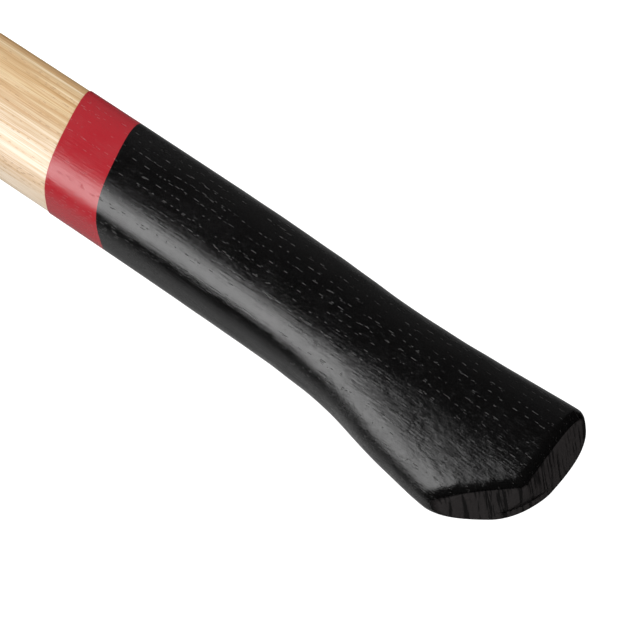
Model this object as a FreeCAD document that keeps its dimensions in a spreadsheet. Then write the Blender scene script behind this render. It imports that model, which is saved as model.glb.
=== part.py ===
import FreeCAD, Part
import math
import os

import Sketcher

# A splitting maul, standing on the flat top of its head with the haft upright.
# Origin: on the haft's axis, in the plane of the head's top.  +Z runs up to the
# grip end, +X points at the cutting edge, and the maul is symmetric about XZ
# apart from the lean of one painted line.  Millimetres throughout.

LENGTHS = {
    # the forged head
    "poll_face": 66.0,          # haft axis back to the striking face
    "edge_reach": 117.0,        # haft axis forward to the middle of the cutting edge
    "head_height": 52.0,        # top of the head to its underside, round the eye
    "bit_height": 86.0,         # toe to heel
    "edge_radius": 98.0,        # curve of the cutting edge, seen from the side
    "heel_sweep_radius": 90.0,  # hollow curve under the blade
    "heel_sweep_start": 38.0,
    "poll_half_width": 23.5,
    "eye_half_width": 27.0,
    "eye_swell_back": 36.0,
    "cheek_start": 32.0,
    "cheek_start_half": 24.6,
    "cheek_radius": 600.0,      # the cheeks are slightly convex wedges
    "blade_tip_half": 1.6,
    "edge_half": 0.6,
    "bevel_length": 11.0,       # ground bevel behind the cutting edge
    "bevel_half": 5.2,
    "thinning_length": 48.0,    # toe and heel are ground thinner this far back
    "thinning_half": 28.0,
    "poll_corner_chamfer": 8.0,
    "poll_face_chamfer": 2.5,
    "forging_radius": 2.0,
    "bevel_sweep_degrees": 110.0,
    "blank_margin": 20.0,       # cutting outlines reach this far past the head
    # the tapered eye, and the tongue that fills it
    "eye_top_half_length": 20.5,
    "eye_top_half_width": 12.6,
    "eye_under_half_length": 19.0,
    "eye_under_half_width": 11.4,
    "eye_end_radius_ratio": 0.9,
    "eye_clearance": 0.05,
    "tongue_recess": 0.8,
    # the haft
    "haft_length": 914.0,
    "section_roundness": 0.86,  # end radius of each oval over its half thickness
    "shoulder_chamfer": 2.0,
    "foot_crease": 12.0,        # where the two end facets meet, forward of the axis
    "foot_back_drop": 3.64,
    "foot_back_reach": 22.0,
    "foot_toe_drop": 23.0,
    "foot_toe_reach": 32.0,
    "foot_overrun": 40.0,
    "foot_edge_radius": 2.4,
    # kerf and wedges in the top of the eye
    "kerf_depth": 40.0,
    "kerf_top_half": 3.0,
    "kerf_bottom_half": 0.8,
    "kerf_half_length": 18.2,
    "steel_wedge_place": 9.0,   # each steel wedge, this far from the haft axis
    "steel_wedge_depth": 27.0,
    "steel_wedge_width": 17.0,
    "steel_wedge_top_half": 2.0,
    "steel_wedge_tip_half": 0.5,
    "barb_depth": 0.45,
    "wedge_clearance": 0.05,
    # dipped paint on the grip
    "paint_thickness": 0.25,
    "grip_length": 159.0,       # black paint, along the haft axis
    "band_width": 21.5,         # red paint, along the haft axis
    "paint_slant_degrees": 21.5,
    "band_lean_degrees": -8.0,  # the red paint's lower line also leans sideways
    "grip_lean_degrees": 0.0,
    "paint_zone": 300.0,        # size of the slanted blocks that bound the paint
}

# Ovals of the haft above the head: name, distance, how far the back and the
# belly stand from the axis, and half the thickness.  Distances of the first
# group run up from the head's top, those of the second down from the grip end.
LOWER_SECTIONS = (
    ("shoulder", 54.2, 22.0, 22.0, 15.6),
    ("throat", 110.0, 21.6, 21.6, 15.4),
    ("lower_haft", 240.0, 19.8, 19.8, 14.7),
    ("middle_haft", 430.0, 18.3, 18.3, 14.0),
)
UPPER_SECTIONS = (
    ("upper_haft", 300.0, 17.3, 17.45, 13.7),
    ("band", 200.0, 17.0, 17.05, 13.5),
    ("grip_start", 150.0, 16.7, 17.05, 13.3),
    ("grip_middle", 110.0, 16.3, 17.5, 13.0),
    ("grip_end", 85.0, 15.6, 18.1, 12.7),
    ("neck", 65.0, 14.6, 20.0, 12.3),
    ("flare", 45.0, 14.6, 24.4, 11.7),
    ("toe", 25.0, 15.6, 27.8, 10.4),
    ("overrun", -4.0, 16.9, 30.2, 9.4),
)
SNAP = 0.01                     # edges this near a plane lie in it


def make_sheet(doc):
    sheet = doc.addObject("Spreadsheet::Sheet", "Dimensions")
    cells = dict(LENGTHS)
    for name, distance, back, belly, half_thick in LOWER_SECTIONS + UPPER_SECTIONS:
        cells[name + "_level"] = distance
        cells[name + "_back"] = back
        cells[name + "_belly"] = belly
        cells[name + "_thick"] = half_thick
    for row, (alias, value) in enumerate(cells.items(), start=1):
        sheet.set(f"A{row}", alias)
        sheet.set(f"B{row}", str(value))
        sheet.setAlias(f"B{row}", alias)
    doc.recompute()
    return sheet


def cell(sheet, name):
    return float(getattr(sheet, name))


def value_of(sheet, expression):
    """The number that an expression over the sheet's aliases gives."""
    result = sheet.evalExpression(expression)
    return float(getattr(result, "Value", result))


def bind(sheet, target, path, expression):
    """Bind a property to an expression written with the sheet's plain aliases."""
    for alias in sorted(sheet_aliases(sheet), key=len, reverse=True):
        expression = replace_word(expression, alias, "<<Dimensions>>." + alias)
    target.setExpression(path, expression)


def sheet_aliases(sheet):
    names = list(LENGTHS)
    for section in LOWER_SECTIONS + UPPER_SECTIONS:
        names += [section[0] + part for part in ("_level", "_back", "_belly", "_thick")]
    return names


def replace_word(text, word, new):
    out = ""
    token = ""
    for letter in text + " ":
        if letter.isalnum() or letter in "_.<>":
            token += letter
        else:
            out += (new if token == word else token) + letter
            token = ""
    return out.strip()


def new_body(doc, label):
    body = doc.addObject("PartDesign::Body", label)
    body.Label = label
    return body


def origin_plane(body, role):
    return next(plane for plane in body.Origin.OriginFeatures if plane.Role == role)


def new_sketch(sheet, body, name, role, offset=None):
    """A sketch on one of the body's origin planes, lifted by an expression."""
    sketch = body.newObject("Sketcher::SketchObject", name)
    sketch.AttachmentSupport = [(origin_plane(body, role), "")]
    sketch.MapMode = "FlatFace"
    if offset is not None:
        bind(sheet, sketch, "AttachmentOffset.Base.z", offset)
    return sketch


def constrain(sheet, sketch, kind, elements, expression, start):
    index = sketch.addConstraint(Sketcher.Constraint(kind, *elements, start))
    bind(sheet, sketch, f"Constraints[{index}]", expression)


def draw_oval(sheet, sketch, back, belly, half_thick, end_radius):
    """An oval of four tangent arcs: a rounded back and belly, two flatter cheeks.

    back and belly are distances from the sketch's origin, all as expressions.
    """
    back_centre = f"-({back}) + {end_radius}"
    belly_centre = f"{belly} - {end_radius}"
    span = f"(({belly}) + ({back}) - 2 * ({end_radius})) / 2"
    drop = f"({half_thick}) - ({end_radius})"
    cheek = f"(({span}) * ({span}) + ({half_thick}) * ({half_thick})"
    cheek += f" - ({end_radius}) * ({end_radius})) / (2 * ({drop}))"
    x_back = value_of(sheet, back_centre)
    x_belly = value_of(sheet, belly_centre)
    thick = value_of(sheet, half_thick)
    small = value_of(sheet, end_radius)
    large = value_of(sheet, cheek)
    middle = (x_back + x_belly) / 2
    turn = math.atan2(large - thick, (x_belly - x_back) / 2)
    normal = FreeCAD.Vector(0, 0, 1)

    def arc(x, y, radius, start, end):
        circle = Part.Circle(FreeCAD.Vector(x, y, 0), normal, radius)
        return Part.ArcOfCircle(circle, start, end)

    arcs = (
        arc(x_belly, 0, small, -turn, turn),
        arc(middle, thick - large, large, turn, math.pi - turn),
        arc(x_back, 0, small, math.pi - turn, math.pi + turn),
        arc(middle, large - thick, large, math.pi + turn, 2 * math.pi - turn),
    )
    sketch.addGeometry(list(arcs), False)
    for index in range(4):
        joint = (index, 2, (index + 1) % 4, 1)
        sketch.addConstraint(Sketcher.Constraint("Tangent", *joint))
    sketch.addConstraint(Sketcher.Constraint("Equal", 0, 2))
    sketch.addConstraint(Sketcher.Constraint("Equal", 1, 3))
    sketch.addConstraint(Sketcher.Constraint("PointOnObject", 0, 3, -1))
    sketch.addConstraint(Sketcher.Constraint("PointOnObject", 2, 3, -1))
    constrain(sheet, sketch, "DistanceX", (-1, 1, 0, 3), belly_centre, x_belly)
    constrain(sheet, sketch, "DistanceX", (-1, 1, 2, 3), back_centre, x_back)
    constrain(sheet, sketch, "Radius", (0,), end_radius, small)
    constrain(sheet, sketch, "Radius", (1,), cheek, large)


def draw_outline(sheet, sketch, corners, arcs=()):
    """A closed outline through corners, each (x, y) as expressions.

    arcs maps the index of a side to (radius expression, side of the bulge): +1
    bulges to the right of the way round, -1 to its left.
    """
    bulges = dict(arcs)
    first = sketch.GeometryCount
    points = [FreeCAD.Vector(value_of(sheet, x), value_of(sheet, y), 0) for x, y in corners]
    count = len(points)
    ends = []
    for index, start in enumerate(points):
        end = points[(index + 1) % count]
        if index in bulges:
            radius_expression, side = bulges[index]
            radius = value_of(sheet, radius_expression)
            edge, forward = bowed_arc(start, end, radius, side)
        else:
            edge, forward = Part.LineSegment(start, end), True
        sketch.addGeometry(edge, False)
        ends.append((1, 2) if forward else (2, 1))
    for index in range(count):
        following = (index + 1) % count
        pair = (first + index, ends[index][1], first + following, ends[following][0])
        sketch.addConstraint(Sketcher.Constraint("Coincident", *pair))
        place = (-1, 1, first + index, ends[index][0])
        constrain(sheet, sketch, "DistanceX", place, corners[index][0], points[index].x)
        constrain(sheet, sketch, "DistanceY", place, corners[index][1], points[index].y)
        if index in bulges:
            radius_expression = bulges[index][0]
            radius = value_of(sheet, radius_expression)
            constrain(sheet, sketch, "Radius", (first + index,), radius_expression, radius)


def bowed_arc(start, end, radius, side):
    """The short arc from start to end, and whether it runs anticlockwise."""
    chord = end - start
    middle = (start + end) * 0.5
    right = FreeCAD.Vector(chord.y, -chord.x, 0).normalize()
    depth = math.sqrt(radius ** 2 - (chord.Length / 2) ** 2)
    centre = middle - right * depth * side
    to_start = start - centre
    to_end = end - centre
    angles = (math.atan2(to_start.y, to_start.x), math.atan2(to_end.y, to_end.x))
    circle = Part.Circle(centre, FreeCAD.Vector(0, 0, 1), radius)
    forward = side > 0
    low, high = angles if forward else (angles[1], angles[0])
    if high < low:
        high += 2 * math.pi
    return Part.ArcOfCircle(circle, low, high), forward


def mirrored_corners(half):
    """Corners along +y, then the same back along -y, as one closed round."""
    return list(half) + [(x, f"-({y})") for x, y in reversed(half)]


def pad(body, sketch, sheet, length, name):
    feature = body.newObject("PartDesign::Pad", name)
    feature.Profile = sketch
    feature.SideType = "Symmetric"
    bind(sheet, feature, "Length", length)
    return feature


def pocket_through(body, sketch, name):
    feature = body.newObject("PartDesign::Pocket", name)
    feature.Profile = sketch
    feature.SideType = "Symmetric"
    feature.Type = "ThroughAll"
    return feature


def loft(body, kind, sketches, name, ruled):
    feature = body.newObject("PartDesign::" + kind, name)
    feature.Profile = sketches[0]
    feature.Sections = sketches[1:]
    feature.Ruled = ruled
    return feature


def edges_where(shape, test):
    return [f"Edge{i}" for i, edge in enumerate(shape.Edges, start=1) if test(edge)]


def dress(doc, sheet, body, kind, size, expression, test, name):
    """Chamfer or fillet the edges of the body's tip that pass a test."""
    doc.recompute()
    base = body.Tip
    before = base.Shape.Volume
    feature = body.newObject("PartDesign::" + kind, name)
    feature.Base = (base, edges_where(base.Shape, test))
    bind(sheet, feature, size, expression)
    doc.recompute()
    print(name, len(feature.Base[1]), "edges, volume", round(feature.Shape.Volume - before, 1))
    return feature


def make_head(doc, sheet):
    """Forged steel: sledge poll, eye boss and a convex wedge with a ground bevel."""
    body = new_body(doc, "maul_head")
    side = new_sketch(sheet, body, "head_side", "XZ_Plane")
    toe_drop = "sqrt(edge_radius * edge_radius - bit_height * bit_height / 4)"
    toe = f"edge_reach - edge_radius + {toe_drop}"
    corners = (
        ("-poll_face", "0"),
        (toe, "0"),
        (toe, "bit_height"),
        ("heel_sweep_start", "head_height"),
        ("-poll_face", "head_height"),
    )
    arcs = {1: ("edge_radius", 1), 2: ("heel_sweep_radius", -1)}
    draw_outline(sheet, side, corners, arcs)
    pad(body, side, sheet, "2 * eye_half_width + 4", "head_blank")

    plan = new_sketch(sheet, body, "head_plan", "XY_Plane")
    margin = "eye_half_width + blank_margin"
    frame = (
        ("-poll_face - blank_margin", f"-({margin})"),
        ("edge_reach + blank_margin", f"-({margin})"),
        ("edge_reach + blank_margin", margin),
        ("-poll_face - blank_margin", margin),
    )
    draw_outline(sheet, plan, frame)
    half = (
        ("edge_reach + 2", "blade_tip_half"),
        ("cheek_start", "cheek_start_half"),
        ("0", "eye_half_width"),
        ("-eye_swell_back", "poll_half_width"),
        ("-poll_face - 2", "poll_half_width"),
    )
    swell = "(cheek_start * cheek_start) / (2 * (eye_half_width - cheek_start_half))"
    swell_back = "(eye_swell_back * eye_swell_back) / (2 * (eye_half_width - poll_half_width))"
    arcs = {
        0: ("cheek_radius", 1), 1: (swell, 1), 2: (swell_back, 1),
        6: (swell_back, 1), 7: (swell, 1), 8: ("cheek_radius", 1),
    }
    draw_outline(sheet, plan, mirrored_corners(half), arcs)
    pocket_through(body, plan, "head_plan_cut")
    doc.recompute()
    blank_volume = body.Shape.Volume

    bevel = new_sketch(sheet, body, "edge_bevel", "XY_Plane", "bit_height / 2")
    for sign in ("", "-"):
        cut = (
            ("edge_reach", f"{sign}edge_half"),
            ("edge_reach + blank_margin", f"{sign}edge_half"),
            ("edge_reach + blank_margin", f"{sign}thinning_half"),
            ("edge_reach - thinning_length", f"{sign}thinning_half"),
            ("edge_reach - bevel_length", f"{sign}bevel_half"),
        )
        draw_outline(sheet, bevel, cut)
    turn_line = Part.LineSegment(
        FreeCAD.Vector(value_of(sheet, "edge_reach - edge_radius"), -5, 0),
        FreeCAD.Vector(value_of(sheet, "edge_reach - edge_radius"), 5, 0),
    )
    axis_index = bevel.addGeometry(turn_line, True)
    bevel.addConstraint(Sketcher.Constraint("Vertical", axis_index))
    pivot = value_of(sheet, "edge_reach - edge_radius")
    place = (-1, 1, axis_index, 1)
    constrain(sheet, bevel, "DistanceX", place, "edge_reach - edge_radius", pivot)
    groove = body.newObject("PartDesign::Groove", "bevel_cut")
    groove.Profile = bevel
    groove.ReferenceAxis = (bevel, ["Axis0"])
    bind(sheet, groove, "Angle", "bevel_sweep_degrees")
    groove.Midplane = True
    doc.recompute()
    print("bevel removes", round(blank_volume - groove.Shape.Volume, 1), "mm3")

    ratio = "eye_end_radius_ratio"
    top = new_sketch(sheet, body, "eye_top", "XY_Plane", "-1")
    under = new_sketch(sheet, body, "eye_under", "XY_Plane", "head_height + 1")
    draw_oval(sheet, top, "eye_top_half_length", "eye_top_half_length",
              "eye_top_half_width", f"{ratio} * eye_top_half_width")
    draw_oval(sheet, under, "eye_under_half_length", "eye_under_half_length",
              "eye_under_half_width", f"{ratio} * eye_under_half_width")
    loft(body, "SubtractiveLoft", [top, under], "eye", True)
    doc.recompute()

    poll_x = -cell(sheet, "poll_face")
    half_width = cell(sheet, "poll_half_width")
    height = cell(sheet, "head_height")

    def poll_corner(edge):
        box = edge.BoundBox
        at_side = box.YMin > half_width - SNAP or box.YMax < -half_width + SNAP
        at_level = box.ZMin > height - SNAP or box.ZMax < SNAP
        return at_side and at_level and box.XMin < poll_x + SNAP and box.XMax < 0

    def poll_rim(edge):
        return edge.BoundBox.XMax < poll_x + SNAP

    def swell_edge(edge):
        # one edge of each tangent chain round the head's upper and lower rims
        box = edge.BoundBox
        starts = abs(box.XMin) < SNAP and abs(box.XMax - cell(sheet, "cheek_start")) < SNAP
        return starts and box.ZLength < SNAP

    dress(doc, sheet, body, "Chamfer", "Size", "poll_corner_chamfer", poll_corner, "poll_corners")
    dress(doc, sheet, body, "Fillet", "Radius", "forging_radius", swell_edge, "forged_rims")
    dress(doc, sheet, body, "Chamfer", "Size", "poll_face_chamfer", poll_rim, "poll_rim")
    return body


def make_haft_form(doc, sheet, label, grow):
    """The haft above the head as a loft of ovals, cut to its two end facets.

    grow is an expression: how far the surface stands outside the bare wood.
    """
    body = new_body(doc, label)
    sketches = []
    for table, measured_from_end in ((LOWER_SECTIONS, False), (UPPER_SECTIONS, True)):
        for section in table:
            name = section[0]
            level = f"haft_length - {name}_level" if measured_from_end else f"{name}_level"
            sketch = new_sketch(sheet, body, f"{label}_{name}", "XY_Plane", level)
            thick = f"({name}_thick + {grow})"
            draw_oval(sheet, sketch, f"({name}_back + {grow})", f"({name}_belly + {grow})",
                      thick, f"section_roundness * {thick}")
            sketches.append(sketch)
    loft(body, "AdditiveLoft", sketches, f"{label}_loft", False)
    doc.recompute()
    whole = body.Shape.Volume

    ends = new_sketch(sheet, body, f"{label}_end_facets", "XZ_Plane")
    crest = f"haft_length + {grow}"
    corners = (
        ("-foot_back_reach", f"{crest} - foot_back_drop"),
        ("foot_crease", crest),
        ("foot_toe_reach", f"{crest} - foot_toe_drop"),
        ("foot_toe_reach + foot_overrun", f"{crest} - foot_toe_drop"),
        ("foot_toe_reach + foot_overrun", f"{crest} + foot_overrun"),
        ("-foot_back_reach - foot_overrun", f"{crest} + foot_overrun"),
        ("-foot_back_reach - foot_overrun", f"{crest} - foot_back_drop"),
    )
    draw_outline(sheet, ends, corners)
    pocket_through(body, ends, f"{label}_end_cut")
    doc.recompute()
    print(label, "end facets remove", round(whole - body.Shape.Volume, 1), "mm3")

    facet_low = cell(sheet, "haft_length") - cell(sheet, "foot_toe_drop") - 1

    def end_rim(edge):
        box = edge.BoundBox
        crease = box.XLength < SNAP and box.ZLength < SNAP
        return box.ZMin > facet_low and not crease

    dress(doc, sheet, body, "Fillet", "Radius", f"foot_edge_radius + {grow}", end_rim,
          f"{label}_end_round")
    return body


def make_haft(doc, sheet):
    """Ash haft: tongue in the eye, shoulder, straight shaft and fawn's foot."""
    body = make_haft_form(doc, sheet, "haft", "0")
    ratio = "eye_end_radius_ratio"
    gap = "eye_clearance"
    low = new_sketch(sheet, body, "tongue_low", "XY_Plane", "tongue_recess")
    high = new_sketch(sheet, body, "tongue_high", "XY_Plane", "shoulder_level + 1")
    for sketch, level in ((low, "tongue_recess"), (high, "(shoulder_level + 1)")):
        share = f"(({level} + 1) / (head_height + 2))"
        length = f"(eye_top_half_length - {share} * (eye_top_half_length - eye_under_half_length)"
        width = f"(eye_top_half_width - {share} * (eye_top_half_width - eye_under_half_width)"
        draw_oval(sheet, sketch, f"{length} - {gap})", f"{length} - {gap})",
                  f"{width} - {gap})", f"{ratio} * {width} - {gap})")
    loft(body, "AdditiveLoft", [low, high], "tongue", True)
    doc.recompute()

    shoulder = cell(sheet, "shoulder_level")

    def shoulder_rim(edge):
        box = edge.BoundBox
        long = max(abs(box.XMin), abs(box.XMax)) > cell(sheet, "eye_top_half_length")
        wide = max(abs(box.YMin), abs(box.YMax)) > cell(sheet, "eye_top_half_width")
        level = abs(box.ZMin - shoulder) < SNAP and abs(box.ZMax - shoulder) < SNAP
        return level and (long or wide)

    dress(doc, sheet, body, "Chamfer", "Size", "shoulder_chamfer", shoulder_rim, "shoulder_ease")

    kerf = new_sketch(sheet, body, "kerf_profile", "YZ_Plane")
    draw_outline(sheet, kerf, wedge_profile("kerf_top_half", "kerf_bottom_half", "kerf_depth",
                                            "tongue_recess - 1"))
    before = body.Shape.Volume
    cut = pocket_through(body, kerf, "kerf")
    cut.Type = "Length"
    bind(sheet, cut, "Length", "2 * kerf_half_length + 20")
    doc.recompute()
    print("kerf removes", round(before - body.Shape.Volume, 1), "mm3")
    cut_steel_wedge_slots(doc, sheet, body, "haft")
    return body


def wedge_profile(top_half, bottom_half, depth, top_level):
    """A wedge seen from its end, driven up from the top of the eye."""
    return (
        (f"-({top_half})", top_level),
        (top_half, top_level),
        (bottom_half, depth),
        (f"-({bottom_half})", depth),
    )


def cut_steel_wedge_slots(doc, sheet, body, label):
    """The slits that the two steel wedges have split across the wood."""
    gap = "wedge_clearance"
    for side, sign in (("front", ""), ("rear", "-")):
        sketch = new_sketch(sheet, body, f"{label}_{side}_slit", "XZ_Plane")
        centre = f"{sign}steel_wedge_place"
        top = f"(steel_wedge_top_half + {gap})"
        tip = f"(steel_wedge_tip_half + {gap})"
        corners = (
            (f"{centre} - {top}", "tongue_recess - 1"),
            (f"{centre} + {top}", "tongue_recess - 1"),
            (f"{centre} + {tip}", f"steel_wedge_depth + {gap}"),
            (f"{centre} - {tip}", f"steel_wedge_depth + {gap}"),
        )
        draw_outline(sheet, sketch, corners)
        before = body.Shape.Volume
        cut = pocket_through(body, sketch, f"{label}_{side}_slot")
        cut.Type = "Length"
        bind(sheet, cut, "Length", f"steel_wedge_width + 2 * {gap}")
        doc.recompute()
        print(label, side, "slot removes", round(before - body.Shape.Volume, 1), "mm3")


def make_eye_wedge(doc, sheet):
    """Hardwood wedge along the eye, filling the kerf of the haft."""
    body = new_body(doc, "eye_wedge")
    sketch = new_sketch(sheet, body, "eye_wedge_profile", "YZ_Plane")
    gap = "wedge_clearance"
    draw_outline(sheet, sketch, wedge_profile(f"kerf_top_half - {gap}", f"kerf_bottom_half - {gap}",
                                              f"kerf_depth - {gap}", "tongue_recess"))
    pad(body, sketch, sheet, "2 * kerf_half_length", "eye_wedge_pad")
    doc.recompute()
    cut_steel_wedge_slots(doc, sheet, body, "eye_wedge")
    return body


def make_steel_wedge(doc, sheet, side, sign):
    """Barbed steel wedge driven across the wooden one."""
    label = f"steel_wedge_{side}"
    body = new_body(doc, label)
    sketch = new_sketch(sheet, body, f"{label}_profile", "XZ_Plane")
    centre = f"{sign}steel_wedge_place"
    barbs = 4
    half = []
    for step in range(barbs):
        share_low = f"({step} / {barbs})"
        share_high = f"(({step} + 1) / {barbs})"
        slope = "(steel_wedge_top_half - steel_wedge_tip_half)"
        low = f"(steel_wedge_top_half - {share_low} * {slope})"
        high = f"(steel_wedge_top_half - {share_high} * {slope} - barb_depth * (1 - {share_high}))"
        depth = "(steel_wedge_depth - tongue_recess)"
        half.append((low, f"tongue_recess + {share_low} * {depth}"))
        half.append((high, f"tongue_recess + {share_high} * {depth}"))
    corners = [(f"{centre} - {x}", z) for x, z in half]
    corners += [(f"{centre} + {x}", z) for x, z in reversed(half)]
    draw_outline(sheet, sketch, corners)
    pad(body, sketch, sheet, "steel_wedge_width", f"{label}_pad")
    return body


def paint_zone(doc, sheet, name, distance, lean):
    """A slanted block above one paint line, distance down from the grip end."""
    block = doc.addObject("Part::Box", name)
    bind(sheet, block, "Length", "paint_zone")
    bind(sheet, block, "Width", "paint_zone")
    bind(sheet, block, "Height", "paint_zone")
    level = value_of(sheet, f"haft_length - ({distance})")
    size = cell(sheet, "paint_zone")
    turn = FreeCAD.Rotation(0, -cell(sheet, "paint_slant_degrees"), lean)
    corner = FreeCAD.Placement(FreeCAD.Vector(-size / 2, -size / 2, 0), FreeCAD.Rotation())
    block.Placement = FreeCAD.Placement(FreeCAD.Vector(0, 0, level), turn).multiply(corner)
    return block


def make_coats(doc, sheet, haft):
    """The two dipped paint coats: what is inside a grown haft and outside the wood."""
    grown = make_haft_form(doc, sheet, "painted_form", "paint_thickness")
    above_band = paint_zone(doc, sheet, "above_band_line", "grip_length + band_width",
                            cell(sheet, "band_lean_degrees"))
    above_grip = paint_zone(doc, sheet, "above_grip_line", "grip_length",
                            cell(sheet, "grip_lean_degrees"))
    skin = boolean(doc, "Part::Cut", "paint_skin", grown, haft)
    painted = boolean(doc, "Part::Common", "painted_skin", skin, above_band)
    red = boolean(doc, "Part::Cut", "red_band_coat", painted, above_grip)
    black = boolean(doc, "Part::Common", "black_grip_coat", painted, above_grip)
    return red, black


def boolean(doc, kind, label, base, tool):
    result = doc.addObject(kind, label)
    result.Label = label
    result.Base = base
    result.Tool = tool
    return result


def check_document(doc, parts):
    """Stop unless every object is computed and every part is one sound solid."""
    for item in doc.Objects:
        bad = [word for word in item.State if word in ("Invalid", "Error")]
        if bad:
            raise RuntimeError(f"{item.Name} is {bad}")
    for part in parts:
        shape = part.Shape
        if shape.isNull() or not shape.isValid():
            raise RuntimeError(f"{part.Label} has no valid shape")
        if len(shape.Solids) != 1:
            raise RuntimeError(f"{part.Label} has {len(shape.Solids)} solids")
        print(part.Label, "volume", round(shape.Volume), "mm3")


def main():
    doc = FreeCAD.newDocument("splitting_maul")
    sheet = make_sheet(doc)
    head = make_head(doc, sheet)
    haft = make_haft(doc, sheet)
    parts = [head, haft, make_eye_wedge(doc, sheet)]
    parts.append(make_steel_wedge(doc, sheet, "front", ""))
    parts.append(make_steel_wedge(doc, sheet, "rear", "-"))
    parts.extend(make_coats(doc, sheet, haft))
    doc.recompute()
    check_document(doc, parts)
    os.makedirs("parts", exist_ok=True)
    for part in parts:
        part.Shape.exportStep(f"parts/{part.Label}.step")


main()
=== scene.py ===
import math

import bpy
import numpy as np
from mathutils import Matrix, Vector


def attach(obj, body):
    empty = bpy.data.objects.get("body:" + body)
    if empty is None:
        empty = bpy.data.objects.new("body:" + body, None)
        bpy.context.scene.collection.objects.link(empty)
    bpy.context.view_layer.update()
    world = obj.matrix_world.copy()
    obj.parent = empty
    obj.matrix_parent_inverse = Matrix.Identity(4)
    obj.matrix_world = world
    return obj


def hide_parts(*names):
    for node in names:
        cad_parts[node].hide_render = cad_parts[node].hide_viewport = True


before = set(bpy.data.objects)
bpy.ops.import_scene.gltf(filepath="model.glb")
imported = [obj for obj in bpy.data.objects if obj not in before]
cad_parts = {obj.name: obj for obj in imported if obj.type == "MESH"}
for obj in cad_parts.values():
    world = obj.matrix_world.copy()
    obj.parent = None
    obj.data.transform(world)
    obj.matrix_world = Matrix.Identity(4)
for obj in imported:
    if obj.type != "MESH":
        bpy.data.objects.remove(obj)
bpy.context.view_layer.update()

MM = 0.001

# ---------------------------------------------------------------- the haft
# Ovals of the haft, in mm, the same as the CAD's.  The first group goes up from
# the head's top: (distance up, back, belly, half thickness).
LOWER_OVALS = (
    (54.2, 22.0, 22.0, 15.6),
    (110.0, 21.6, 21.6, 15.4),
    (240.0, 19.8, 19.8, 14.7),
    (430.0, 18.3, 18.3, 14.0),
)
# The second group goes down from the grip end, with the distance down first.
UPPER_OVALS = (
    (300.0, 17.3, 17.45, 13.7),
    (200.0, 17.0, 17.05, 13.5),
    (150.0, 16.7, 17.05, 13.3),
    (110.0, 16.3, 17.5, 13.0),
    (85.0, 15.6, 18.1, 12.7),
    (65.0, 14.6, 20.0, 12.3),
    (45.0, 14.6, 24.4, 11.7),
    (25.0, 15.6, 27.8, 10.4),
    (-4.0, 16.9, 30.2, 9.4),
)
HAFT_TOP = 914.0
# Shallow hollows left by hand shaping: (azimuth from +X in degrees, distance
# below the grip end, half width, half length, depth), mm.
DENTS = (
    (-59, 43, 4.0, 6.0, 0.22),
    (-72, 58, 3.5, 7.0, -0.12),
    (-48, 30, 4.0, 5.0, 0.12),
    (-35, 66, 3.0, 8.0, 0.10),
    (-75, 24, 5.0, 4.0, -0.10),
    (70, 50, 5.0, 9.0, 0.20),
    (110, 92, 5.0, 12.0, 0.14),
    (160, 35, 4.0, 8.0, 0.15),
    (5, 70, 4.0, 9.0, 0.12),
    (-120, 105, 5.0, 12.0, 0.10),
)
DENT_ARM = 15.0                 # turns an angle on the grip into mm round it
# Faint waves of the hand-worked wall: (waves round, pitch along in mm, phase).
RIPPLES = ((3, 31.0, 0.4), (5, -19.0, 2.0), (7, 12.5, 4.1))
RIPPLE_DEPTH = 0.018
RIPPLE_FADE = 60.0              # the ripples grow over this length of the grip
SQUARENESS = 3.0                # 2 would make the ovals plain ellipses
FOOT_CREASE = 12.0              # where the two end facets meet, forward of the axis
FOOT_BACK_DROP = 3.64
FOOT_BACK_REACH = 22.0
FOOT_TOE_DROP = 23.0
FOOT_TOE_REACH = 32.0
END_ROUND = (2.6, 3.2)          # near cheek, far cheek
EGG_SHAPE = 0.24                # how much thinner the toe is than the middle
EGG_LENGTH = 90.0
CREASE_ROUND = (1.0, 8.5)       # near cheek, far cheek
GRIP_LENGTH = 159.0
BAND_WIDTH = 21.5
PAINT_SLANT = math.tan(math.radians(21.5))
BAND_LEAN = math.tan(math.radians(-8.0))
PAINT = 0.25
LIP_DEPTH = 0.3                 # a coat's open end turns this far into the wood


def spline(knots, values, at):
    """Smooth interpolation with Catmull-Rom tangents on uneven knots."""
    knots = np.asarray(knots)
    values = np.asarray(values)
    slopes = np.gradient(values, knots)
    span = np.clip(np.searchsorted(knots, at) - 1, 0, len(knots) - 2)
    low, high = knots[span], knots[span + 1]
    width = high - low
    t = (at - low) / width
    t2, t3 = t * t, t * t * t
    start = (2 * t3 - 3 * t2 + 1) * values[span] + (t3 - 2 * t2 + t) * width * slopes[span]
    return start + (3 * t2 - 2 * t3) * values[span + 1] + (t3 - t2) * width * slopes[span + 1]


KNOTS = [row[0] for row in LOWER_OVALS] + [HAFT_TOP - row[0] for row in UPPER_OVALS]
OVALS = list(LOWER_OVALS) + list(UPPER_OVALS)


def oval(level):
    """Centre x, half depth and half thickness of the haft at a level, mm."""
    back, belly, thick = (spline(KNOTS, [row[i] for row in OVALS], level) for i in (1, 2, 3))
    return (belly - back) / 2, (belly + back) / 2, thick


def radius(azimuth, half_depth, half_thick):
    """Distance from an oval's middle to its rim, as a rounded-off rectangle."""
    across = np.abs(np.cos(azimuth) / half_depth) ** SQUARENESS
    along = np.abs(np.sin(azimuth) / half_thick) ** SQUARENESS
    return (across + along) ** (-1 / SQUARENESS)


def egg(x, centre, half_depth, level):
    """Share of its thickness that the haft keeps here: the foot thins to its toe."""
    foot = np.clip((level - HAFT_TOP) / EGG_LENGTH + 1, 0, 1)
    return 1 - EGG_SHAPE * foot * foot * (x - centre) / half_depth


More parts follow.
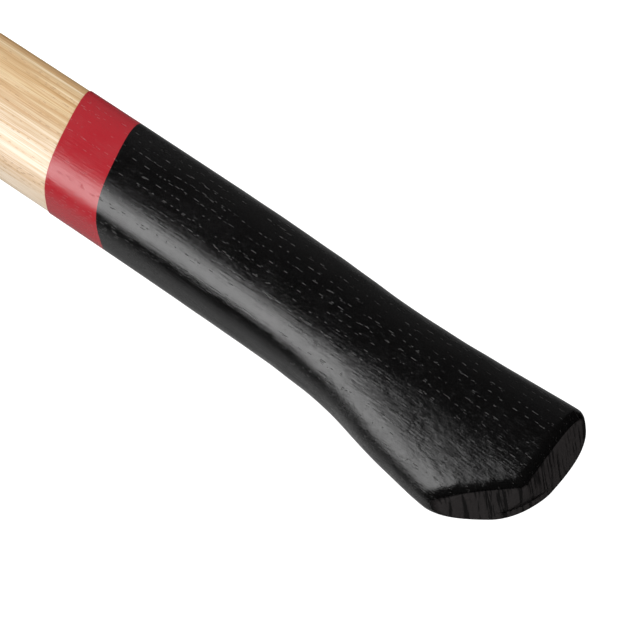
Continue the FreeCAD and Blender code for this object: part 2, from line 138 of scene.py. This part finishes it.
def dent_depth(azimuth, level):
    """How far hand shaping leaves the wall inside its smooth form, mm."""
    depth = np.zeros(np.broadcast(azimuth, level).shape)
    for turn, below_end, half_width, half_length, deep in DENTS:
        off = np.angle(np.exp(1j * (azimuth - math.radians(turn)))) * DENT_ARM / half_width
        along = (level - HAFT_TOP + below_end) / half_length
        depth = depth + deep * np.exp(-off * off - along * along)
    fade = np.clip((level - HAFT_TOP + GRIP_LENGTH) / RIPPLE_FADE, 0, 1)
    for around, pitch, phase in RIPPLES:
        wave = np.sin(around * azimuth + 2 * math.pi * level / pitch + phase)
        depth = depth + RIPPLE_DEPTH * fade * (1 + wave)
    return depth


def round_max(a, b, size):
    """The larger of two distances, with the corner between them rounded."""
    inside = np.minimum(np.maximum(a, b), -size)
    return inside + np.hypot(np.maximum(a + size, 0), np.maximum(b + size, 0))


def outside(x, y, z, grow):
    """Distance outside the rounded foot of the haft: under zero inside it."""
    centre, half_depth, half_thick = oval(z)
    y = y / egg(x, centre, half_depth, z)
    azimuth = np.arctan2(y, x - centre)
    reach = radius(azimuth, half_depth, half_thick) - dent_depth(azimuth, z)
    wall = np.hypot(x - centre, y) - reach
    heel_slope = FOOT_BACK_DROP / (FOOT_CREASE + FOOT_BACK_REACH)
    heel = (z - HAFT_TOP - heel_slope * (x - FOOT_CREASE)) / math.hypot(1, heel_slope)
    toe_slope = FOOT_TOE_DROP / (FOOT_TOE_REACH - FOOT_CREASE)
    toe = (z - HAFT_TOP + toe_slope * (x - FOOT_CREASE)) / math.hypot(1, toe_slope)
    share = np.clip(y / half_thick + 0.5, 0, 1) ** 2
    crease, rim = (near + (far - near) * share for near, far in (CREASE_ROUND, END_ROUND))
    ends = round_max(heel, toe, crease)
    return round_max(wall, ends, rim) - grow


def paint_line(level, lean):
    """Level of a slanted paint line at a point of the haft, as a function."""
    return lambda x, y: level + PAINT_SLANT * x + lean * y


SETTLE_ROUNDS = 4               # a slanted line's level depends on x and y


def column_points(azimuth, start, end, rows, grow):
    """Grid of points up the haft's side between two lines, rows x azimuths."""
    share = np.linspace(0, 1, rows)[:, None]
    x = np.zeros((rows, len(azimuth)))
    y = np.zeros_like(x)
    for _ in range(SETTLE_ROUNDS):
        z = start(x, y) * (1 - share) + end(x, y) * share
        centre, half_depth, half_thick = oval(z)
        reach = radius(azimuth[None, :], half_depth, half_thick) + grow
        reach = reach - dent_depth(azimuth[None, :], z)
        x = centre + reach * np.cos(azimuth)
        y = reach * np.sin(azimuth) * egg(x, centre, half_depth, z)
    return np.stack([x, y, z], -1)


CAP_LEVEL = HAFT_TOP - 34.0
CAP_MIDDLE = (3.0, 0.0, CAP_LEVEL)
CAP_REACH = 70.0                # longer than any ray inside the foot
HALVINGS = 40


def cap_points(azimuth, rows, grow):
    """The foot above CAP_LEVEL, met by rays fanned from the middle of its base."""
    centre, half_depth, half_thick = oval(np.array(CAP_LEVEL))
    rim = radius(azimuth, half_depth, half_thick)
    rim_x = centre + rim * np.cos(azimuth) - CAP_MIDDLE[0]
    rim_y = rim * np.sin(azimuth) * egg(rim_x + CAP_MIDDLE[0], centre, half_depth, CAP_LEVEL)
    flat = np.hypot(rim_x, rim_y)
    polar = np.linspace(0, math.pi / 2, rows + 1)[:-1][:, None]
    tall = HAFT_TOP - CAP_LEVEL
    up = np.sin(polar) * tall
    out = np.cos(polar)
    ray = np.stack([out * rim_x, out * rim_y, up * np.ones_like(flat)], -1)
    ray /= np.linalg.norm(ray, axis=-1, keepdims=True)
    low = np.zeros(ray.shape[:2])
    high = np.full(ray.shape[:2], CAP_REACH)
    for _ in range(HALVINGS):
        middle = (low + high) / 2
        spot = np.array(CAP_MIDDLE) + ray * middle[..., None]
        inside = outside(spot[..., 0], spot[..., 1], spot[..., 2], grow) < 0
        low = np.where(inside, middle, low)
        high = np.where(inside, high, middle)
    return np.array(CAP_MIDDLE) + ray * low[..., None]


SHARP_ANGLE = 40.0


def new_mesh(name, points, faces):
    mesh = bpy.data.meshes.new(name)
    mesh.from_pydata([tuple(p) for p in points], [], faces)
    mesh.validate()
    mesh.polygons.foreach_set("use_smooth", [True] * len(mesh.polygons))
    mesh.set_sharp_from_angle(angle=math.radians(SHARP_ANGLE))
    piece = bpy.data.objects.new(name, mesh)
    bpy.context.scene.collection.objects.link(piece)
    return piece


def grid_faces(rows, columns, first=0):
    faces = []
    for row in range(rows - 1):
        for column in range(columns):
            following = (column + 1) % columns
            low = first + row * columns
            high = low + columns
            faces.append((low + column, low + following, high + following, high + column))
    return faces


COLUMNS = 240
GRIP_ROWS = 200
CAP_ROWS = 110
BAND_ROWS = 30
SHAFT_ROWS = 500
SHAFT_START = 56.2              # top of the chamfer round the shoulder
LEVEL_SLACK = 0.02              # CAD faces this near the start still count as below
AZIMUTHS = np.linspace(0, 2 * math.pi, COLUMNS, endpoint=False)


def level_line(level):
    return lambda x, y: level + 0 * x


GRIP_LINE = paint_line(HAFT_TOP - GRIP_LENGTH, 0.0)
BAND_LINE = paint_line(HAFT_TOP - GRIP_LENGTH - BAND_WIDTH, BAND_LEAN)


def make_grip_coat():
    side = column_points(AZIMUTHS, GRIP_LINE, level_line(CAP_LEVEL), GRIP_ROWS, PAINT)
    cap = cap_points(AZIMUTHS, CAP_ROWS, PAINT)
    lip = column_points(AZIMUTHS, GRIP_LINE, GRIP_LINE, 1, -LIP_DEPTH)
    rows = np.concatenate([lip, side[:-1], cap])
    points = list(rows.reshape(-1, 3) * MM)
    faces = grid_faces(len(rows), COLUMNS)
    top = len(points)
    points.append(cap[-1].mean(0) * MM)
    last = (len(rows) - 1) * COLUMNS
    faces += [(last + i, last + (i + 1) % COLUMNS, top) for i in range(COLUMNS)]
    return new_mesh("black_grip", points, faces)


def make_band_coat():
    side = column_points(AZIMUTHS, BAND_LINE, GRIP_LINE, BAND_ROWS, PAINT)
    lip = column_points(AZIMUTHS, BAND_LINE, BAND_LINE, 1, -LIP_DEPTH)
    rows = np.concatenate([lip, side])
    return new_mesh("red_band", rows.reshape(-1, 3) * MM, grid_faces(len(rows), COLUMNS))


def cad_faces_below(node, level, first):
    """Points and faces of a CAD node that lie wholly under a level."""
    mesh = bpy.data.objects[node].data
    kept = [face for face in mesh.polygons
            if max(mesh.vertices[i].co.z for i in face.vertices) < level]
    used = sorted({i for face in kept for i in face.vertices})
    number = {old: first + new for new, old in enumerate(used)}
    points = [tuple(mesh.vertices[i].co) for i in used]
    return points, [tuple(number[i] for i in face.vertices) for face in kept]


def make_shaft():
    """The bare wood: the tongue in the eye, its shoulder and the shaft."""
    rows = column_points(AZIMUTHS, level_line(SHAFT_START), BAND_LINE, SHAFT_ROWS, 0.0)
    points = list(rows.reshape(-1, 3) * MM)
    tongue, faces = cad_faces_below("haft", (SHAFT_START + LEVEL_SLACK) * MM, len(points))
    return new_mesh("bare_haft", points + tongue, grid_faces(len(rows), COLUMNS) + faces)


# ---------------------------------------------------------------- materials
class Shader:
    """A node material, with one call to add a node and wire its inputs."""

    def __init__(self, name):
        self.material = bpy.data.materials.new(name)
        self.material.use_nodes = True
        self.tree = self.material.node_tree
        self.surface = self.tree.nodes["Principled BSDF"]

    def add(self, kind, inputs=(), **settings):
        node = self.tree.nodes.new("ShaderNode" + kind)
        for key, value in settings.items():
            setattr(node, key, value)
        for key, value in dict(inputs).items():
            self.wire(node.inputs[key], value)
        return node

    def wire(self, socket, value):
        if isinstance(value, bpy.types.NodeSocket):
            self.tree.links.new(value, socket)
        else:
            socket.default_value = value

    def math(self, operation, a, b=0.0, c=0.0):
        inputs = {0: a, 1: b, 2: c}
        return self.add("Math", inputs, operation=operation).outputs[0]

    def vector(self, operation, a, b=(0.0, 0.0, 0.0)):
        node = self.add("VectorMath", {0: a, 1: b}, operation=operation)
        return node.outputs["Value" if operation == "LENGTH" else "Vector"]

    def ramp(self, value, *stops):
        """A ramp of greys or colours: stops are (place, colour or grey)."""
        node = self.add("ValToRGB", {0: value})
        elements = node.color_ramp.elements
        while len(elements) < len(stops):
            elements.new(0.5)
        for element, (place, colour) in zip(elements, stops):
            element.position = place
            grey = isinstance(colour, (int, float))
            element.color = (colour, colour, colour, 1) if grey else (*colour, 1)
        return node.outputs[0]

    def mix(self, share, a, b, blend="MIX"):
        node = self.add("Mix", data_type="RGBA", blend_type=blend)
        self.wire(node.inputs[0], share)
        self.wire(node.inputs[6], a)
        self.wire(node.inputs[7], b)
        return node.outputs[2]

    def noise(self, place, scale, detail=2.0, roughness=0.5):
        inputs = {"Vector": place, "Scale": scale, "Detail": detail, "Roughness": roughness}
        return self.add("TexNoise", inputs).outputs["Fac"]

    def millimetres(self):
        """The place on the piece, in mm."""
        coordinates = self.add("TexCoord").outputs["Object"]
        return self.vector("MULTIPLY", coordinates, (1 / MM, 1 / MM, 1 / MM))

    def bump(self, height):
        """Relief whose height is in mm."""
        node = self.add("Bump", {"Height": height, "Strength": 1.0, "Distance": MM})
        self.wire(self.surface.inputs["Normal"], node.outputs[0])


PITH = (-95.0, 13.0, 0.0)       # the heart of the tree, from the haft's axis, mm
RING_WIDTH = 2.7
RING_DRIFT = 9.0                # slow wander of the rings along the haft
RING_RAGGED = 0.7
VESSEL_SPACING = 0.35
VESSEL_LENGTH = 2.4
VESSEL_OFFSET = 900.0           # starts each vessel at its own place in the noise


def ash_grain(shader):
    """Ring-porous grain along the haft: place, early wood share, pores."""
    place = shader.millimetres()
    slow = shader.vector("MULTIPLY", place, (0.02, 0.02, 0.003))
    drift = shader.math("SUBTRACT", shader.noise(slow, 1.0, 2.0), 0.5)
    from_pith = shader.vector("SUBTRACT", place, PITH)
    flat = shader.vector("MULTIPLY", from_pith, (1.0, 1.0, 0.0))
    distance = shader.math("MULTIPLY_ADD", drift, RING_DRIFT, shader.vector("LENGTH", flat))
    ragged = shader.noise(shader.vector("MULTIPLY", place, (1.2, 1.2, 0.05)), 1.0, 1.0)
    distance = shader.math("MULTIPLY_ADD", ragged, RING_RAGGED, distance)
    phase = shader.math("FRACT", shader.math("DIVIDE", distance, RING_WIDTH))
    early = shader.ramp(phase, (0.0, 0.0), (0.04, 1.0), (0.18, 0.8), (0.42, 0.0))
    across = shader.vector("MULTIPLY", place, (1 / VESSEL_SPACING, 1 / VESSEL_SPACING, 0.0))
    vessels = shader.add("TexVoronoi", {"Vector": across, "Scale": 1.0}, voronoi_dimensions="2D")
    opening = shader.ramp(vessels.outputs["Distance"], (0.24, 1.0), (0.36, 0.0))
    chance = shader.add("SeparateColor", {0: vessels.outputs["Color"]}).outputs[0]
    level = shader.add("SeparateXYZ", {0: place}).outputs[2]
    in_lengths = shader.math("DIVIDE", level, VESSEL_LENGTH)
    along = shader.math("MULTIPLY_ADD", chance, VESSEL_OFFSET, in_lengths)
    breaks = shader.add("TexNoise", {"W": along, "Scale": 1.0, "Detail": 1.0}, noise_dimensions="1D")
    present = shader.ramp(breaks.outputs["Fac"], (0.56, 0.0), (0.60, 1.0))
    pores = shader.math("MULTIPLY", shader.math("MULTIPLY", opening, present), early)
    return place, early, pores


def ash_wood():
    shader = Shader("bare_ash")
    place, early, pores = ash_grain(shader)
    stripes = shader.vector("MULTIPLY", place, (0.45, 0.45, 0.004))
    streak = shader.noise(stripes, 1.0, 3.0, 0.6)
    thin = shader.noise(shader.vector("MULTIPLY", place, (3.0, 3.0, 0.03)), 1.0, 3.0, 0.65)
    broad = shader.noise(shader.vector("MULTIPLY", place, (0.1, 0.1, 0.002)), 1.0, 2.0)
    fibre = shader.noise(shader.vector("MULTIPLY", place, (7.0, 7.0, 0.15)), 1.0, 3.0, 0.6)
    colour = shader.ramp(streak, (0.38, (0.58, 0.485, 0.345)), (0.5, (0.50, 0.385, 0.235)),
                         (0.62, (0.41, 0.255, 0.115)))
    x = shader.add("SeparateXYZ", {0: place}).outputs[0]
    # Painted sheen: the wood is made paler towards the belly side (+X), where the light falls, as a
    # colour and not as lighting.
    belly_side_sheen = shader.ramp(shader.math("MULTIPLY_ADD", x, 0.04, 0.5), (0.35, 0.0), (0.95, 0.75))
    colour = shader.mix(belly_side_sheen, colour, (0.60, 0.53, 0.455, 1))
    lines = shader.ramp(thin, (0.42, (1.05, 1.05, 1.05)), (0.60, (0.80, 0.68, 0.53)))
    colour = shader.mix(1.0, colour, lines, "MULTIPLY")
    tone = shader.ramp(broad, (0.35, (1.0, 1.0, 1.0)), (0.7, (0.92, 0.85, 0.76)))
    colour = shader.mix(1.0, colour, tone, "MULTIPLY")
    colour = shader.mix(shader.math("MULTIPLY", early, 0.34), colour, (0.44, 0.27, 0.13, 1))
    colour = shader.mix(shader.math("MULTIPLY", pores, 0.8), colour, (0.20, 0.115, 0.055, 1))
    shade = shader.ramp(fibre, (0.3, 0.9), (0.7, 1.0))
    colour = shader.mix(1.0, colour, shade, "MULTIPLY")
    shader.wire(shader.surface.inputs["Base Color"], colour)
    gloss = shader.ramp(fibre, (0.3, 0.28), (0.7, 0.38))
    shader.wire(shader.surface.inputs["Roughness"], gloss)
    relief = shader.math("MULTIPLY", pores, -0.03)
    relief = shader.math("MULTIPLY_ADD", fibre, 0.006, relief)
    shader.bump(relief)
    return shader.material


def dipped_paint(name, colour, pore_dust_and_glint, end_grain=None):
    """Gloss paint that sinks into the open pores of the ash."""
    shader = Shader(name)
    place, _, pores = ash_grain(shader)
    fibre = shader.noise(shader.vector("MULTIPLY", place, (4.0, 4.0, 0.12)), 1.0, 3.0, 0.65)
    streaks = shader.noise(shader.vector("MULTIPLY", place, (2.4, 2.4, 0.10)), 1.0, 3.0, 0.7)
    peel = shader.noise(place, 0.45, 2.0)
    blotch = shader.noise(place, 0.12, 3.0)
    # Pores take a lighter colour: partly dust in the unfilled pores, partly a painted glint of the
    # pore edges catching the light.
    tone = shader.mix(shader.math("MULTIPLY", pores, 0.36), (*colour, 1), (*pore_dust_and_glint, 1))
    uneven = shader.math("MULTIPLY_ADD", fibre, 0.6, shader.math("MULTIPLY", blotch, 0.4))
    gloss = shader.ramp(uneven, (0.40, 0.09), (0.60, 0.24))
    gloss = shader.mix(pores, gloss, (0.6, 0.6, 0.6, 1))
    relief = shader.math("MULTIPLY", pores, -0.045)
    relief = shader.math("MULTIPLY_ADD", fibre, 0.026, relief)
    relief = shader.math("MULTIPLY_ADD", streaks, 0.085, relief)
    relief = shader.math("MULTIPLY_ADD", peel, 0.02, relief)
    if end_grain is not None:
        tone, gloss, relief = end_grain(shader, place, tone, gloss, relief)
    shader.wire(shader.surface.inputs["Base Color"], tone)
    shader.wire(shader.surface.inputs["Roughness"], gloss)
    shader.bump(relief)
    return shader.material


HEEL_FACET = Vector((-FOOT_BACK_DROP, 0.0, FOOT_CREASE + FOOT_BACK_REACH)).normalized()
TOE_FACET = Vector((FOOT_TOE_DROP, 0.0, FOOT_TOE_REACH - FOOT_CREASE)).normalized()
WEAR_LENGTH = 100.0             # handling wear fades out over this, below the end


def worn_foot(shader, place, tone, gloss, relief):
    """Scuffed paint near the foot, and thirsty matt end grain on its facets."""
    x, _, level = shader.add("SeparateXYZ", {0: place}).outputs
    below_end = shader.math("SUBTRACT", HAFT_TOP, level)
    near_end = shader.ramp(shader.math("DIVIDE", below_end, WEAR_LENGTH), (0.45, 1.0), (1.0, 0.0))
    belly_side = shader.ramp(shader.math("DIVIDE", x, FOOT_CREASE * 2), (0.15, 0.12), (0.50, 1.0))
    worn = shader.math("MULTIPLY", near_end, belly_side)
    rub = shader.noise(shader.vector("MULTIPLY", place, (0.5, 0.5, 0.2)), 1.0, 4.0, 0.65)
    rubbed = shader.math("MULTIPLY", worn, shader.ramp(rub, (0.4, 0.0), (0.62, 1.0)))
    scratch = shader.noise(shader.vector("MULTIPLY", place, (2.4, 2.4, 0.4)), 1.0, 4.0, 0.7)
    wrinkle = shader.noise(shader.vector("MULTIPLY", place, (0.34, 0.34, 0.20)), 1.0, 2.0)
    gloss = shader.mix(shader.math("MULTIPLY", rubbed, 0.6), gloss, (0.22, 0.22, 0.22, 1))
    relief = shader.math("MULTIPLY_ADD", shader.math("MULTIPLY", scratch, worn), 0.12, relief)
    relief = shader.math("MULTIPLY_ADD", shader.math("MULTIPLY", wrinkle, worn), 0.30, relief)

    normal = shader.add("TexCoord").outputs["Normal"]
    facing = -1.0
    for facet in (HEEL_FACET, TOE_FACET, (HEEL_FACET + TOE_FACET).normalized()):
        dot = shader.add("VectorMath", {0: normal, 1: facet}, operation="DOT_PRODUCT")
        facing = shader.math("MAXIMUM", facing, dot.outputs["Value"])
    share = shader.ramp(facing, (0.90, 0.0), (0.975, 1.0))
    rings = shader.noise(shader.vector("MULTIPLY", place, (1.2, 0.06, 0.06)), 1.0, 3.0, 0.6)
    lines = shader.ramp(rings, (0.42, 0.0), (0.48, 0.85), (0.8, 1.0))
    speck = shader.noise(place, 2.2, 3.0, 0.7)
    matt = shader.mix(lines, (0.0075, 0.0063, 0.0063, 1), (0.026, 0.0215, 0.0213, 1))
    grains = shader.ramp(speck, (0.3, 0.7), (0.7, 1.15))
    matt = shader.mix(1.0, matt, grains, "MULTIPLY")
    tone = shader.mix(share, tone, matt)
    gloss = shader.mix(share, gloss, (0.6, 0.6, 0.6, 1))
    rough = shader.math("MULTIPLY_ADD", speck, 0.07, shader.math("MULTIPLY", lines, 0.04))
    relief = shader.math("MULTIPLY_ADD", share, shader.math("SUBTRACT", rough, relief), relief)
    return tone, gloss, relief


RED = (0.25, 0.0125, 0.018)
BLACK = (0.0020, 0.0019, 0.0019)
grip_paint = dipped_paint("black_paint", BLACK, (0.045, 0.042, 0.040), worn_foot)
band_paint = dipped_paint("red_paint", RED, (0.20, 0.022, 0.028))

for piece, node, slot, material in (
    (make_grip_coat(), "black_grip_coat", "black_paint", grip_paint),
    (make_band_coat(), "red_band_coat", "red_paint", band_paint),
    (make_shaft(), "haft", "ash_wood", ash_wood()),
):
    piece.data.materials.append(material)
    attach(piece, "root")
    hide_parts(node)

STEEL = (0.36, 0.355, 0.35, 1)
EDGE_CENTRE = (19.0, 0.0, 43.0)     # the cutting edge curves round this point
GROUND_FROM = 87.5                  # bright grinding starts this far out, mm
GROUND_RAGGED = 2.4
BLADE_FROM = 60.0                   # no grinding behind this, forward of the axis
POLL_FACE = -66.0
STRUCK_DEPTH = 1.4                  # hammer wear reaches this far in from the poll face
STRUCK_RAGGED = 3.0
HEAD_HEIGHT = 52.0
RIM_FROM = 15.0                     # the worn rims lie outside the eye
RIM_WIDTH = 2.0


def forged_head():
    """Lacquered forging, ground bright at the edge and on the striking face."""
    shader = Shader("forged_steel")
    place = shader.millimetres()
    x, y, z = shader.add("SeparateXYZ", {0: place}).outputs
    hammered = shader.noise(place, 0.16, 3.0, 0.55)
    scale = shader.noise(place, 1.6, 4.0, 0.65)
    ragged = shader.noise(place, 0.35, 4.0, 0.7)
    uneven = shader.math("SUBTRACT", ragged, 0.5)
    from_centre = shader.vector("SUBTRACT", place, EDGE_CENTRE)
    in_plane = shader.vector("MULTIPLY", from_centre, (1.0, 0.0, 1.0))
    out = shader.vector("LENGTH", in_plane)
    ahead = shader.math("GREATER_THAN", x, BLADE_FROM)
    rough_edge = shader.math("MULTIPLY_ADD", uneven, GROUND_RAGGED, out)
    ground = shader.ramp(shader.math("MULTIPLY", rough_edge, 0.01),
                         (0.01 * GROUND_FROM - 0.003, 0.0), (0.01 * GROUND_FROM + 0.003, 1.0))
    ground = shader.math("MULTIPLY", ground, ahead)
    struck = shader.math("SUBTRACT", POLL_FACE + STRUCK_DEPTH, x)
    struck = shader.math("MULTIPLY_ADD", uneven, STRUCK_RAGGED, struck)
    struck = shader.ramp(struck, (0.0, 0.0), (0.6, 1.0))
    from_middle = shader.math("ABSOLUTE", shader.math("SUBTRACT", z, HEAD_HEIGHT / 2))
    into_rim = shader.math("SUBTRACT", from_middle, HEAD_HEIGHT / 2 - RIM_WIDTH)
    rim = shader.ramp(into_rim, (0.2, 0.0), (0.9, 1.0))
    worn = shader.ramp(ragged, (0.50, 0.0), (0.62, 1.0))
    chipped = shader.ramp(ragged, (0.66, 0.0), (0.70, 0.25))
    side = shader.math("GREATER_THAN", shader.math("ABSOLUTE", y), RIM_FROM)
    rubbed = shader.math("MULTIPLY", shader.math("MULTIPLY", rim, worn), side)
    rubbed = shader.math("MAXIMUM", shader.math("MULTIPLY", rubbed, 0.6), chipped)
    bare = shader.math("MAXIMUM", shader.math("MAXIMUM", ground, struck), rubbed)
    lacquer = shader.mix(scale, (0.012, 0.012, 0.013, 1), (0.030, 0.030, 0.031, 1))
    grinding = shader.noise(shader.vector("MULTIPLY", place, (0.25, 0.6, 7.0)), 1.0, 3.0, 0.7)
    bright = shader.mix(grinding, (0.24, 0.235, 0.23, 1), STEEL)
    shader.wire(shader.surface.inputs["Base Color"], shader.mix(bare, lacquer, bright))
    shader.wire(shader.surface.inputs["Metallic"], bare)
    dull = shader.ramp(scale, (0.3, 0.36), (0.7, 0.50))
    polish = shader.ramp(grinding, (0.3, 0.22), (0.7, 0.36))
    shader.wire(shader.surface.inputs["Roughness"], shader.mix(bare, dull, polish))
    forged = shader.math("MULTIPLY_ADD", hammered, 0.55, shader.math("MULTIPLY", scale, 0.05))
    ridges = shader.math("MULTIPLY", grinding, 0.012)
    height = shader.math("MULTIPLY_ADD", bare, shader.math("SUBTRACT", ridges, forged), forged)
    shader.bump(height)
    return shader.material


def hard_wedge():
    """The eye wedge: a darker, closer-grained wood seen on its sawn end."""
    shader = Shader("wedge_wood")
    place = shader.millimetres()
    rings = shader.noise(shader.vector("MULTIPLY", place, (0.5, 1.6, 0.05)), 1.0, 3.0, 0.6)
    flecks = shader.noise(shader.vector("MULTIPLY", place, (6.0, 6.0, 1.0)), 1.0, 3.0, 0.7)
    colour = shader.ramp(rings, (0.3, (0.34, 0.20, 0.10)), (0.7, (0.50, 0.33, 0.18)))
    colour = shader.mix(1.0, colour, shader.ramp(flecks, (0.3, 0.72), (0.7, 1.0)), "MULTIPLY")
    shader.wire(shader.surface.inputs["Base Color"], colour)
    shader.surface.inputs["Roughness"].default_value = 0.55
    shader.bump(shader.math("MULTIPLY", flecks, 0.05))
    return shader.material


def wedge_steel():
    """Blue-grey mild steel with mill scale and hammer marks on its driven end."""
    shader = Shader("wedge_steel")
    place = shader.millimetres()
    scale = shader.noise(place, 0.9, 4.0, 0.7)
    marks = shader.noise(place, 0.35, 2.0)
    colour = shader.ramp(scale, (0.3, (0.20, 0.20, 0.21)), (0.7, (0.46, 0.46, 0.47)))
    shader.wire(shader.surface.inputs["Base Color"], colour)
    shader.surface.inputs["Metallic"].default_value = 1.0
    shader.wire(shader.surface.inputs["Roughness"], shader.ramp(scale, (0.3, 0.5), (0.7, 0.32)))
    shader.bump(shader.math("MULTIPLY_ADD", marks, 0.15, shader.math("MULTIPLY", scale, 0.03)))
    return shader.material


def dress(node, material):
    """Give a carried-over CAD node its material."""
    mesh = bpy.data.objects[node].data
    mesh.materials.clear()
    mesh.materials.append(material)


dress("maul_head", forged_head())
dress("eye_wedge", hard_wedge())
driven_steel = wedge_steel()
dress("steel_wedge_front", driven_steel)
dress("steel_wedge_rear", driven_steel)

# ---------------------------------------------------------------- camera
CAMERA_REACH = 0.9
CAMERA_LENS = 198.0
CAMERA_CLIP = 0.01
CAMERA_WAY = (24.0, 24.0)               # azimuth and elevation, degrees
CAMERA_TURN = math.radians(-123.36)     # from level, about the line of sight
STANDS_OFF = Vector((9.0, 0.0, HAFT_TOP - 0.44)) * MM   # CAMERA_REACH from this point
LOOKS_AT = Vector((0.59, 0.0, 828.68)) * MM


def compass(azimuth, elevation):
    """The direction that these angles, in degrees, point to from the maul."""
    a, e = math.radians(azimuth), math.radians(elevation)
    return Vector((math.sin(a) * math.cos(e), -math.cos(a) * math.cos(e), math.sin(e)))


def make_camera():
    data = bpy.data.cameras.new("camera")
    data.lens = CAMERA_LENS
    data.clip_start = CAMERA_CLIP
    camera = bpy.data.objects.new("camera", data)
    bpy.context.scene.collection.objects.link(camera)
    place = STANDS_OFF + compass(*CAMERA_WAY) * CAMERA_REACH
    sight = (LOOKS_AT - place).normalized()
    level_right = sight.cross(Vector((0, 0, 1))).normalized()
    level_up = level_right.cross(sight)
    up = level_up * math.cos(CAMERA_TURN) + level_right * math.sin(CAMERA_TURN)
    turn = Matrix((sight.cross(up), up, -sight)).transposed()
    camera.matrix_world = Matrix.Translation(place) @ turn.to_4x4()
    bpy.context.scene.camera = camera


make_camera()

# ---------------------------------------------------------------- studio
GRIP = Vector((0.0, 0.0, (HAFT_TOP - 80.0) * MM))


def softbox(name, azimuth, elevation, reach, width, height, radiance, glossy=True):
    """A rectangular light of an even radiance, facing the grip."""
    data = bpy.data.lights.new(name, "AREA")
    data.shape = "RECTANGLE"
    data.size, data.size_y = width, height
    data.energy = radiance * math.pi * width * height
    light = bpy.data.objects.new(name, data)
    bpy.context.scene.collection.objects.link(light)
    way = compass(azimuth, elevation)
    light.location = GRIP + way * reach
    light.rotation_euler = (-way).to_track_quat("-Z", "Y").to_euler()
    light.visible_camera = False
    light.visible_glossy = glossy


# Azimuth, elevation, distance, width, height, radiance: degrees and metres.
softbox("strip", 42, -29, 0.85, 0.74, 0.52, 5.6)
softbox("strip_soft", 13, -29, 0.95, 0.24, 0.50, 1.3)
softbox("belly_glow", 165, -29, 1.2, 1.7, 0.7, 0.28)
softbox("back_glow", -140, -22, 1.5, 2.0, 0.8, 0.24)
softbox("heel_glow", -68, -29, 1.2, 1.2, 0.6, 0.10)
softbox("key", -35, 50, 2.2, 1.6, 1.6, 1.2, glossy=False)

NEAR_FLOOR = 0.8
WIDE_FLOOR = 30.0
FLOOR_SIDES = 64


def pale_floor():
    shader = Shader("pale_floor")
    place = shader.millimetres()
    speck = shader.noise(place, 0.02, 2.0)
    shade = shader.ramp(speck, (0.3, 0.86), (0.7, 0.9))
    shader.wire(shader.surface.inputs["Base Color"], shade)
    shader.surface.inputs["Roughness"].default_value = 0.9
    shader.surface.inputs["Specular IOR Level"].default_value = 0.0
    shader.surface.inputs["Emission Color"].default_value = (1, 1, 1, 1)
    shader.surface.inputs["Emission Strength"].default_value = 0.3
    return shader.material


def make_floor(name, inner, outer, material, glossy):
    """A flat ring, or a disc where inner is zero, on the ground."""
    sides = FLOOR_SIDES
    turns = [2 * math.pi * i / sides for i in range(sides)]
    points = [(r * math.cos(t), r * math.sin(t), 0) for r in (inner, outer) for t in turns]
    if inner:
        faces = [(i, i + sides, (i + 1) % sides + sides, (i + 1) % sides) for i in range(sides)]
    else:
        points = points[sides:]
        faces = [tuple(range(sides))]
    mesh = bpy.data.meshes.new(name)
    mesh.from_pydata(points, [], faces)
    mesh.materials.append(material)
    floor = bpy.data.objects.new(name, mesh)
    bpy.context.scene.collection.objects.link(floor)
    floor.visible_glossy = glossy


floor_material = pale_floor()
make_floor("near_floor", 0, NEAR_FLOOR, floor_material, True)
make_floor("wide_floor", NEAR_FLOOR, WIDE_FLOOR, floor_material, False)

world = bpy.data.worlds.new("studio")
bpy.context.scene.world = world
world.use_nodes = True
background = world.node_tree.nodes["Background"]
background.inputs["Color"].default_value = (1, 1, 1, 1)
background.inputs["Strength"].default_value = 1.0
world.cycles_visibility.glossy = False

bpy.context.scene.view_settings.view_transform = "Standard"
